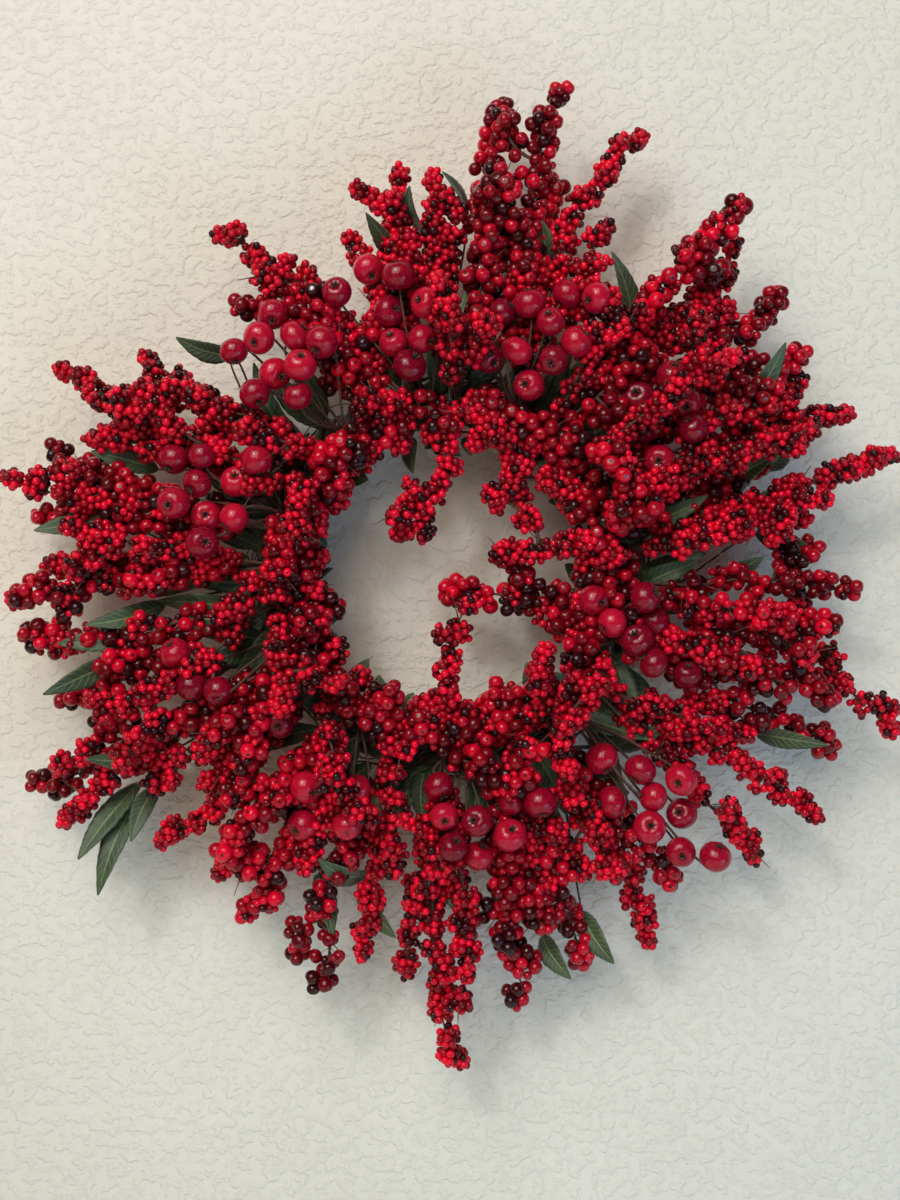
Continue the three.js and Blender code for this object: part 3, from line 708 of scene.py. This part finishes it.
def grow_spray(root, branch, crowd, rng):
    """A branch and its side sprigs, all of one kind."""
    kind = branch[4]
    path = Path(wandering(branch_points(root, branch), rng))
    sprigs = int(path.length / MM / SPRIG_GAP + rng.uniform(0, 1))
    paths = [path] + [Path(side_sprig(path, rng)) for _ in range(sprigs)]
    return [grow_branch(one, kind, crowd, rng) for one in paths]


def grow_branch(path, name, crowd, rng):
    kind = KINDS[name]
    bare = BARE_SHARE
    covered = path.length * (1 - bare) / MM
    count = int(covered * kind.per_mm)
    shares = bare + (1 - bare) * ((np.arange(count) + rng.uniform(0, 1, count)) / count) ** CROWD_OUT
    shares = np.minimum(shares, 1)
    clumps = max(1, round(covered / kind.clump))
    clump = np.minimum(((shares - bare) / (1 - bare) * clumps).astype(int), clumps - 1)
    shares += CLUMP_PULL * (bare + (1 - bare) * (clump + 0.5) / clumps - shares)
    strays = rng.normal(0, CLUMP_STRAY, (clumps, 3)) * MM
    around = 2.4 * np.arange(count) + rng.normal(0, 0.5, count)

    which = rng.choice(len(kind.sizes), count, p=[share for share, _ in kind.sizes])
    radii = np.array([radius for _, radius in kind.sizes])[which] * rng.normal(1, 0.07, count) * MM
    lumps = 1 + 0.34 * wave(shares, rng, covered / 38)
    taper = np.clip((1 - shares) / 0.1, 0.25, 1) * np.clip((shares - bare) / 0.1, 0.35, 1)
    reaches = kind.shell * MM * lumps * taper * rng.normal(1, 0.13, count)

    ahead = path.direction(shares)
    across = unit(np.cross(ahead, FRONT + rng.normal(0, 0.01, 3)))
    up = np.cross(across, ahead)
    outward = circled(around, across, up)
    homes = path.at(shares) + strays[clump]
    centres = homes + reaches[:, None] * outward

    tints = rng.uniform(*kind.tints, count) + 0.1 * wave(shares, rng, 2)
    patches = bare + (1 - bare) * rng.uniform(0, 1, 1 + int(covered / PATCH_GAP))
    near_patch = np.min(np.abs(shares[:, None] - patches), axis=1) * path.length / MM < PATCH_LENGTH / 2
    dark = rng.uniform(0, 1, count) < np.where(near_patch, PATCH_DARK_SHARE, kind.dark_share)
    tints = np.where(dark, rng.uniform(0.02, 0.2, count), tints)

    berries = crowd.add(centres, radii, homes, reaches, 1)
    feet = path.at(shares - 2.5 * MM / path.length)
    return Branch(list(KINDS).index(name), path, feet, radii, tints, berries)


def dress_branch(branch, centres, berries, stems, rng):
    """Adds a branch's berries to one piece, and its stem and the berries' stalks to another."""
    where = centres[branch.berries]
    axes = unit(unit(where - branch.feet) + rng.normal(0, 0.35, where.shape))
    turns = turned(axes, rng.uniform(0, TURN, len(where)))
    sizes = branch.radii[:, None] * (1 + rng.normal(0, 0.035, where.shape))
    big = branch.radii > BIG_BERRY_R * MM
    for shape, chosen in ((SMALL_BALL, ~big), (BIG_BALL, big)):
        if chosen.any():
            berries.add_copies(shape, where[chosen], sizes[chosen], turns[chosen], branch.tints[chosen],
                               branch.material)
    shares = np.linspace(0, 0.97, 24)
    radii = (1.5 - 0.95 * shares) * (1 + 0.08 * wave(shares, rng, 5)) * MM
    stems.add(tube(branch.path.at(shares), radii))
    for foot, centre in zip(branch.feet, where):
        stems.add(stalk(foot, centre))
    stems.add(bare_twig(branch.path, rng), finish=1)


def stalk(foot, tip, radius=0.42 * MM):
    """A three-sided spike from a stem into a berry."""
    ahead = unit(tip - foot)
    across = unit(np.cross(ahead, [0.31, 0.52, 0.8]))
    up = np.cross(ahead, across)
    around = np.arange(3) * TURN / 3
    base = foot + radius * circled(around, across, up)
    triangles = np.array([[0, 1, 3], [1, 2, 3], [2, 0, 3], [2, 1, 0]])
    return np.concatenate([base, [tip]]), triangles


def bare_twig(path, rng):
    """A thin twig that leaves the stem at a slant and pokes out between the berries."""
    share = rng.uniform(0.3, 0.9)
    start = path.at(share)
    ahead = path.direction(share)
    aside = unit(np.cross(ahead, rng.normal(0, 1, 3)))
    length = rng.uniform(14, 24) * MM
    steps = np.linspace(0, 1, 6)[:, None]
    points = start + length * (steps * (0.8 * ahead + 0.75 * aside) + 0.18 * steps**2 * FRONT)
    points[:, 1] = np.minimum(points[:, 1], (WALL_Y - 2) * MM)
    return tube(points, np.linspace(0.6, 0.25, 6) * MM, sides=5)


SWEPT_R = 9.5  # the thickness of a front spray, as it bends
BEND_STEPS = 6


def swept_room(root, branch, joint):
    """Balls along a front spray's stem at steps of its bend."""
    stem = Path(branch_points(root, branch)).at(np.linspace(0.15, 1, 16))
    pivot = np.array(joint["pos_m"])
    axis = Vector(joint["axis"])
    furthest = math.radians(joint["range_deg"][1])
    turns = [np.array(Matrix.Rotation(furthest * (i + 1) / BEND_STEPS, 3, axis)) for i in range(BEND_STEPS)]
    return np.concatenate([pivot + (stem - pivot) @ turn.T for turn in turns])


# ---- Apples ----
def apple_sites(picks, crowd, rng):
    """Where the apples of each pick sit in the crowd, and how big each is."""
    sites = []
    for _, depth, apples in picks:
        centres = np.array([
            place(x, z, depth + APPLE_STEPS[i % len(APPLE_STEPS)]) for i, (x, z) in enumerate(apples)])
        radii = APPLE_R * MM * rng.uniform(0.88, 1.04, len(centres))
        sites.append((crowd.add(centres, radii, centres, 0, 1), radii))
    return sites


def sepal(clock, lean, rng):
    """One dried tip of a calyx, on a unit apple: it stands in the dimple and curls outwards."""
    spread = 0.1 + lean * np.array([0, 0.35, 1.0])
    height = 0.62 + np.array([0, 0.24, 0.34 + rng.uniform(-0.04, 0.04)])
    points = np.stack([spread * math.cos(clock), spread * math.sin(clock), height], -1)
    return tube(points, np.array([0.07, 0.055, 0.012]), sides=4)


def dress_apples(pick, centres, radii, apples, stalks, rng):
    root = on_ring(pick[0], RING_R, ROOT_DEPTH)
    axes = unit(0.85 * FRONT + rng.normal(0, 0.75, centres.shape))
    turns = turned(axes, rng.uniform(0, TURN, len(centres)))
    sizes = radii[:, None] * (1 + rng.normal(0, 0.03, centres.shape))
    apples.add_copies(UNIT_APPLE, centres, sizes, turns, rng.uniform(0.2, 1, len(centres)))
    for centre, radius, turn in zip(centres, radii, turns):
        for i in range(5):
            points, triangles = sepal(TURN * i / 5 + rng.uniform(-0.2, 0.2), 0.2, rng)
            apples.add((centre + radius * points @ turn.T, triangles), finish=1)
        end = centre - 0.72 * radius * turn[:, 2]
        beyond = centre - (radius + 9 * MM) * turn[:, 2]
        start = root + rng.normal(0, 2.5, 3) * MM
        stalks.add(tube(bezier(start, start + 0.35 * (beyond - start) + 6 * MM * FRONT, beyond, end, 14),
                        np.linspace(1.1, 0.8, 14) * MM))


# ---- Leaves ----
def leaf_blade(base, tip, half_width, rng, stations=22, columns=7):
    """A thin closed leaf: folded along its midrib, arched, twisted a little, with a finely toothed edge."""
    run = tip - base
    length = np.linalg.norm(run)
    along = unit(run)
    lean = unit(FRONT + 0.25 * rng.normal(0, 1, 3))
    side = unit(np.cross(lean, along))
    face = np.cross(along, side)
    share = np.linspace(0.02, 0.985, stations)
    width = half_width * np.sin(math.pi * share**0.82) ** 0.8
    width = width * (1 + 0.05 * (2 * ((share * 13) % 1) - 1))
    arch = rng.uniform(0.03, 0.12) * length * np.sin(math.pi * share)
    droop = -rng.uniform(0, 0.12) * length * share**2
    sway = rng.uniform(-0.07, 0.07) * length * np.sin(math.pi * share)
    spine = base + share[:, None] * run + (arch + droop)[:, None] * face + sway[:, None] * side
    twist = rng.uniform(-0.5, 0.5) * share

    across = np.linspace(1, -1, columns)
    fold = 0.32 * np.abs(across) - 0.1 * across**2
    turned_side = np.cos(twist)[:, None] * side + np.sin(twist)[:, None] * face
    turned_face = np.cos(twist)[:, None] * face - np.sin(twist)[:, None] * side
    sheet = (spine[:, None] + width[:, None, None] * across[None, :, None] * turned_side[:, None]
             + width[:, None, None] * fold[None, :, None] * turned_face[:, None])
    half = 0.28 * MM * (1.25 - np.abs(across))[None, :, None] * turned_face[:, None]
    rings = np.concatenate([sheet + half, (sheet - half)[:, ::-1]], axis=1)

    u = np.concatenate([across, across[::-1]])
    facing = np.where(np.arange(2 * columns) < columns, 1.0, -1.0)
    own = np.stack(np.broadcast_arrays(u[None], share[:, None], facing[None]), -1).reshape(-1, 3)
    own = np.concatenate([own, [[0, 0, 0], [0, 1, 0]]])
    points, triangles = skin(rings, rings[0].mean(0), rings[-1].mean(0))
    under = own[triangles][:, :, 2].mean(1) < 0
    return (points, triangles), own, under.astype(int)


def tucked_leaves(root, rng):
    """Base and tip of the leaves that fill the gaps between the berries near the ring."""
    leaves = []
    for i in range(TUCKED_LEAVES):
        clock = root + 45 * ((i + rng.uniform(0, 1)) / TUCKED_LEAVES - 0.5)
        way = -1 if i % 3 == 2 else 1
        radius = RING_R + way * rng.uniform(0, 26)
        base = on_ring(clock, radius, rng.uniform(44, 52))
        tip_radius = radius + (rng.uniform(44, 66) if way > 0 else -rng.uniform(12, 26))
        tip = on_ring(clock + rng.uniform(-14, 14), tip_radius, rng.uniform(52, 74))
        leaves.append((base, tip))
    return leaves


def leaf_sprig(index, sprig):
    rng = np.random.default_rng([SEED, 3, index])
    root, leaves = sprig
    piece = Piece()
    foot = on_ring(root, LEAF_ROOT_R, LEAF_DEPTH)
    lines = []
    for i, (x, z, tip_x, tip_z) in enumerate(leaves):
        depth = LEAF_DEPTH - LEAF_STEP * i
        base = place(x, z, depth + 12)
        tip = place(tip_x, tip_z, depth + rng.uniform(30, 50))
        lines.append((base, base + LEAF_STRETCH * (tip - base)))
    for base, tip in lines + tucked_leaves(root, rng):
        shell, own, under = leaf_blade(base, tip, LEAF_HALF_WIDTH * rng.uniform(0.9, 1.1) * MM, rng)
        piece.add(shell, 0.5, own, under)
        bend = 0.5 * (foot + base) + 4 * MM * FRONT
        piece.add(tube(bezier(foot, bend, base - 0.1 * (tip - base), base + 0.08 * (tip - base), 12),
                       np.linspace(1.2, 0.6, 12) * MM), finish=2)
    node = f"leaf_sprig_{index}"
    piece.build(f"{node}_leaves", [LEAF_TOP, LEAF_UNDER, STEM], "wreath", "leaf", node)


# ---- The vine ring and its wires ----
def round_ring(clock, out, depth):
    """Points on the ring: clock in radians, distances in millimetres out from its axis and from the wall."""
    return np.stack([out * np.cos(clock), WALL_Y - depth, RING_Z + out * np.sin(clock)], -1) * MM


def round_wave(clock, rng, lowest, highest, count=6):
    """A smooth random wave round the ring, between about -1 and 1."""
    turns = rng.integers(lowest, highest, count)
    phases = rng.uniform(0, TURN, count)
    return np.sin(clock[:, None] * turns + phases).sum(1) / math.sqrt(count) / 1.5


def vine_strand(index):
    rng = np.random.default_rng([SEED, 4, index])
    piece = Piece()
    clock = np.linspace(0, TURN, 264, endpoint=False)
    twist = (index - 1) / VINE_COUNT * TURN + TWISTS * clock
    for vine in range(VINES_PER_STRAND):
        turn = twist + vine / VINES_PER_STRAND * TURN + VINE_TURNS * clock
        offset = VINE_OFFSET * (1 + 0.12 * round_wave(clock, rng, 3, 17))
        out = RING_R + TWIST_R * np.cos(twist) + offset * np.cos(turn)
        depth = RING_DEPTH + TWIST_R * np.sin(twist) + offset * np.sin(turn)
        knots = sum(np.exp(-((np.angle(np.exp(1j * (clock - knot))) / 0.022) ** 2))
                    for knot in rng.uniform(0, TURN, 7))
        radii = VINE_R * (0.94 + 0.12 * round_wave(clock, rng, 11, 60) + 0.28 * knots) * MM
        piece.add(hoop(round_ring(clock, out, depth), radii, sides=8))
    node = f"vine_strand_{index}"
    piece.build(f"{node}_vines", [VINE], "wreath", "vine", node)


def tendrils(count=34):
    """Thin loose vines that wander round the bundle and end in the air."""
    rng = np.random.default_rng([SEED, 5])
    piece = Piece()
    for i in range(count):
        start = TURN * (i + rng.uniform(0, 1)) / count
        share = np.linspace(0, 1, 30)
        clock = start + share * rng.uniform(0.35, 0.8) * rng.choice([-1, 1])
        around = rng.uniform(0, TURN) + share * rng.uniform(2, 5)
        reach = 20.5 + share**2 * rng.uniform(2, 12)
        out = RING_R + reach * np.cos(around)
        depth = np.maximum(RING_DEPTH + reach * np.sin(around), 4)
        radii = rng.uniform(0.7, 1.2) * (1 - 0.6 * share) * MM
        piece.add(tube(round_ring(clock, out, depth), radii, sides=5))
    piece.build("vine_tendrils", [VINE], "wreath", "vine")


def binding_wire(index, clock_degrees):
    """Three turns of wire round the bundle, with its twisted ends standing off the back."""
    turn = np.linspace(0, 3 * TURN, 90)
    clock = math.radians(clock_degrees) + (turn / turn[-1] - 0.5) * 6 / RING_R
    points = round_ring(clock, RING_R + BUNDLE_R * np.cos(turn), RING_DEPTH + BUNDLE_R * np.sin(turn))
    piece = Piece()
    piece.add(tube(points, BINDING_WIRE_R * MM))
    for phase in (0, math.pi):
        piece.add(twisted_tail(math.radians(clock_degrees), phase))
    node = f"binding_wire_{index}"
    piece.build(f"{node}_wraps", [WIRE], "wreath", "wire", node)


def twisted_tail(clock, phase):
    """One of two wire ends twisted together, lying along the outer side of the bundle."""
    share = np.linspace(0, 1, 26)
    turn = phase + share * 5 * math.pi
    points = round_ring(clock + 14 * share / RING_R, RING_R + BUNDLE_R + 0.9 + 0.9 * np.cos(turn),
                        RING_DEPTH + 0.9 * np.sin(turn))
    return tube(points, 0.7 * MM, sides=5)


def hanger_eye():
    """Two turns round the top of the bundle that rise into a small eye for the loop."""
    piece = Piece()
    turn = np.linspace(0, 2 * TURN, 80)
    lean = math.radians(EYE_LEAN)
    stand_off = (BINDING_R - BUNDLE_R) * np.exp(-((np.angle(np.exp(1j * (turn + lean))) / 0.7) ** 2))
    clock = math.pi / 2 + (turn / turn[-1] - 0.5) * 3 / RING_R
    reach = BUNDLE_R + stand_off
    piece.add(tube(round_ring(clock, RING_R + reach * np.cos(turn), RING_DEPTH + reach * np.sin(turn)),
                   BINDING_WIRE_R * MM))
    around = np.linspace(0, TURN, 36, endpoint=False)
    out = RING_R + EYE_REACH * math.sin(lean) + EYE_R * np.cos(around)
    depth = RING_DEPTH - EYE_REACH * math.cos(lean) + EYE_R * np.sin(around)
    piece.add(hoop_in_ring_section(out, depth))
    piece.build("hanger_eye_wraps", [WIRE], "wreath", "wire", "hanger_eye")


def hoop_in_ring_section(out, depth):
    """A closed ring of wire across the bundle at its top, in the plane that the loop hangs in."""
    points = round_ring(np.full(len(out), math.pi / 2), out, depth)
    ahead = np.roll(points, -1, 0) - np.roll(points, 1, 0)
    across = np.broadcast_to([1.0, 0.0, 0.0], points.shape)
    return hoop(points, BINDING_WIRE_R * MM, frames=(across, np.cross(unit(ahead), across)))


def loop_line(steps):
    """The hanger loop's centreline: an oval from the eye up to the nail."""
    angle = np.linspace(0, TURN, steps, endpoint=False)[:, None]
    eye = EYE * MM
    upwards = unit(-eye)
    half_height = (np.linalg.norm(eye) + 1.25 * MM) / 2
    sideways = LOOP_HALF_WIDTH * MM * np.array([1, 0, 0])
    return eye + upwards * half_height * (1 + np.sin(angle)) + sideways * np.cos(angle)


def hanger_loop():
    """Two wires twisted together round the loop."""
    line = loop_line(160)
    across, up = frames_along(line, closed=True)
    piece = Piece()
    for phase in (0, math.pi):
        turn = phase + np.linspace(0, 22 * TURN, len(line), endpoint=False)
        points = line + 0.55 * MM * circled(turn, across, up)
        piece.add(hoop(points, LOOP_WIRE_R * MM))
    piece.build("hanger_loop_wires", [WIRE], "hanger", "wire", "hanger_loop")


# ---- Assembly ----
SMALL_BALL = ball(2)
BIG_BALL = ball(3)
UNIT_APPLE = apple()


def two_digits(index):
    return f"{index + 1:02d}"


def grow_wreath():
    """Grows every spray and apple pick together, so that they make room for one another."""
    crowd = Crowd([], [], [], [], [], [], HANGER)
    loop = loop_line(30)
    swing = (3 + 5 * np.clip(1 - loop[:, 2] / (EYE[2] * MM), 0, 1)) * MM
    crowd.add(loop, swing, loop, 0, 0)
    crowd.owner = APPLES
    apples = apple_sites(APPLE_PICKS, crowd, np.random.default_rng([SEED, 1]))
    sprays = [(root, branches + collar_branches(root)) for root, branches in BERRY_PICKS]
    sprays += [(root, [branch]) for root, branch in FRONT_SPRAYS]
    picks = []
    for i, (root, branches) in enumerate(sprays):
        rng = np.random.default_rng([SEED, 2, i])
        crowd.owner = i
        picks.append(sum((grow_spray(root, branch, crowd, rng) for branch in branches), []))
    for i, (root, branch) in enumerate(FRONT_SPRAYS):
        crowd.owner = len(BERRY_PICKS) + i
        room = swept_room(root, branch, JOINTS[f"front_spray_{i + 1}_bend"])
        crowd.add(room, SWEPT_R * MM, room, 0, 0)
    return settle(crowd), apples, picks


def berry_pieces(centres, picks):
    nodes = [f"berry_pick_{two_digits(i)}" for i in range(len(BERRY_PICKS))]
    nodes += [f"front_spray_{i + 1}" for i in range(len(FRONT_SPRAYS))]
    materials = [BERRY_MATERIALS[name] for name in KINDS]
    slots = {part["node"]: part["material_slot"] for part in frame["record"]["subparts"]}
    for i, (node, branches) in enumerate(zip(nodes, picks)):
        rng = np.random.default_rng([SEED, 6, i])
        body = node if node.startswith("front") else "wreath"
        berries, stems = Piece(), Piece()
        for branch in branches:
            dress_branch(branch, centres, berries, stems, rng)
        berries.build(f"{node}_berries", materials, body, slots[node], node)
        stems.build(f"{node}_stems", [STEM, TWIG], body, "vine")


def apple_pieces(centres, sites):
    for i, (pick, (members, radii)) in enumerate(zip(APPLE_PICKS, sites)):
        rng = np.random.default_rng([SEED, 7, i])
        apples, stalks = Piece(), Piece()
        dress_apples(pick, centres[members], radii, apples, stalks, rng)
        node = f"crab_apple_pick_{two_digits(i)}"
        apples.build(f"{node}_apples", [APPLE, CALYX], "wreath", "crab_apple", node)
        stalks.build(f"{node}_stalks", [STEM], "wreath", "vine")


def object_pieces():
    centres, apples, picks = grow_wreath()
    berry_pieces(centres, picks)
    apple_pieces(centres, apples)
    for i, sprig in enumerate(LEAF_SPRIGS):
        leaf_sprig(i + 1, sprig)
    for i in range(VINE_COUNT):
        vine_strand(i + 1)
    tendrils()
    for i, clock in enumerate(BINDING_CLOCKS):
        binding_wire(i + 1, clock)
    hanger_eye()
    hanger_loop()


# ---- Stage, lights and camera ----
MIDDLE_DEPTH = 60  # the middle of the wreath, in millimetres from the wall


def plaster_material():
    """Pale rough plaster that is only there from its front, so that the wreath's back can be seen."""
    shade = Shade("plaster", Specular_IOR_Level=0.3)
    skips = shade.between(shade.noise(110, 7, stretch=(1, 1, 1.2)), 0.48, 0.6)
    relief = shade.math("MULTIPLY_ADD", shade.noise(620, 4), 0.4, skips)
    colour = shade.ramp(shade.noise(7, 4), [(0.35, (0.70, 0.665, 0.585)), (0.7, (0.73, 0.695, 0.615))])
    shade.bump(relief, 0.0009, 0.75)
    shade.finish(colour, shade.between(relief, 0.2, 1.2, 0.7, 0.85))
    clear = shade.add("BsdfTransparent", {})
    behind = shade.add("NewGeometry", {}, "Backfacing")
    solid = shade.shader.outputs["BSDF"]
    output = shade.tree.nodes["Material Output"]
    shade.set(output, {"Surface": shade.add("MixShader", {0: behind, 1: solid, 2: clear})})
    return shade.material


def stage_sheet(name, corners, material):
    mesh = bpy.data.meshes.new(name)
    mesh.from_pydata(corners, [], [(0, 1, 2, 3)])
    mesh.materials.append(material)
    made = add_object(name, mesh)
    made.visible_shadow = False  # so that the back light reaches the wreath through the wall


def stage():
    """A wall just behind the wreath, and a floor well under it."""
    plaster = plaster_material()
    half_width, height, length = 2.2, 3.4, 3
    floor = RING_Z * MM - 1.1
    top = floor + height
    wall = WALL_Y * MM + 0.001
    foot = [(-half_width, wall, floor), (half_width, wall, floor)]
    head = [(half_width, wall, top), (-half_width, wall, top)]
    front = [(-half_width, -length, floor), (half_width, -length, floor)]
    stage_sheet("wall", foot + head, plaster)
    stage_sheet("floor", front + foot[::-1], plaster)


def area_light(name, offset, size, power, colour):
    """A square light that aims at the wreath's middle, from an offset in metres."""
    target = Vector(place(0, 0, MIDDLE_DEPTH))
    lamp = bpy.data.lights.new(name, "AREA")
    lamp.shape = "SQUARE"
    lamp.size = size
    lamp.energy = power
    lamp.color = colour
    made = add_object(name, lamp)
    made.location = target + Vector(offset)
    made.rotation_mode = "QUATERNION"
    made.rotation_quaternion = (target - made.location).to_track_quat("-Z", "Y")


def lights():
    """A broad warm key, a small light for crisp highlights, a cool fill, and one for the wreath's back."""
    area_light("key", (-0.8, -2.6, 1.7), 2.7, 97, (1.0, 0.955, 0.87))
    area_light("sparkle", (-0.9, -2.2, 1.6), 0.35, 17, (0.97, 0.97, 1.0))
    area_light("fill", (1.6, -1.5, -1.3), 1.4, 26, (0.32, 0.67, 1.0))
    area_light("back", (-0.6, 1.5, 1.0), 1.2, 18, (1.0, 0.98, 0.95))
    world = bpy.data.worlds.new("studio")
    world.use_nodes = True
    inputs = world.node_tree.nodes["Background"].inputs
    inputs["Color"].default_value = (0.8, 0.84, 0.9, 1)
    inputs["Strength"].default_value = 0.05
    bpy.context.scene.world = world
    bpy.context.scene.view_settings.view_transform = "Standard"


CAMERA_DISTANCE = 1.0  # straight in front
PICTURE_HEIGHT = 0.87  # what it takes in at the wreath's middle depth
PICTURE_DROP = 0.018  # its centre lies this much under the ring's
SENSOR = 36


def camera():
    lens = bpy.data.cameras.new("camera")
    lens.sensor_width = SENSOR
    lens.lens = SENSOR * CAMERA_DISTANCE / PICTURE_HEIGHT
    made = add_object("camera", lens)
    middle = Vector(place(0, 0, MIDDLE_DEPTH))
    made.location = middle + Vector((0, -CAMERA_DISTANCE, -PICTURE_DROP))
    made.rotation_euler = (math.radians(90), 0, 0)
    bpy.context.scene.camera = made


object_pieces()
stage()
lights()
camera()
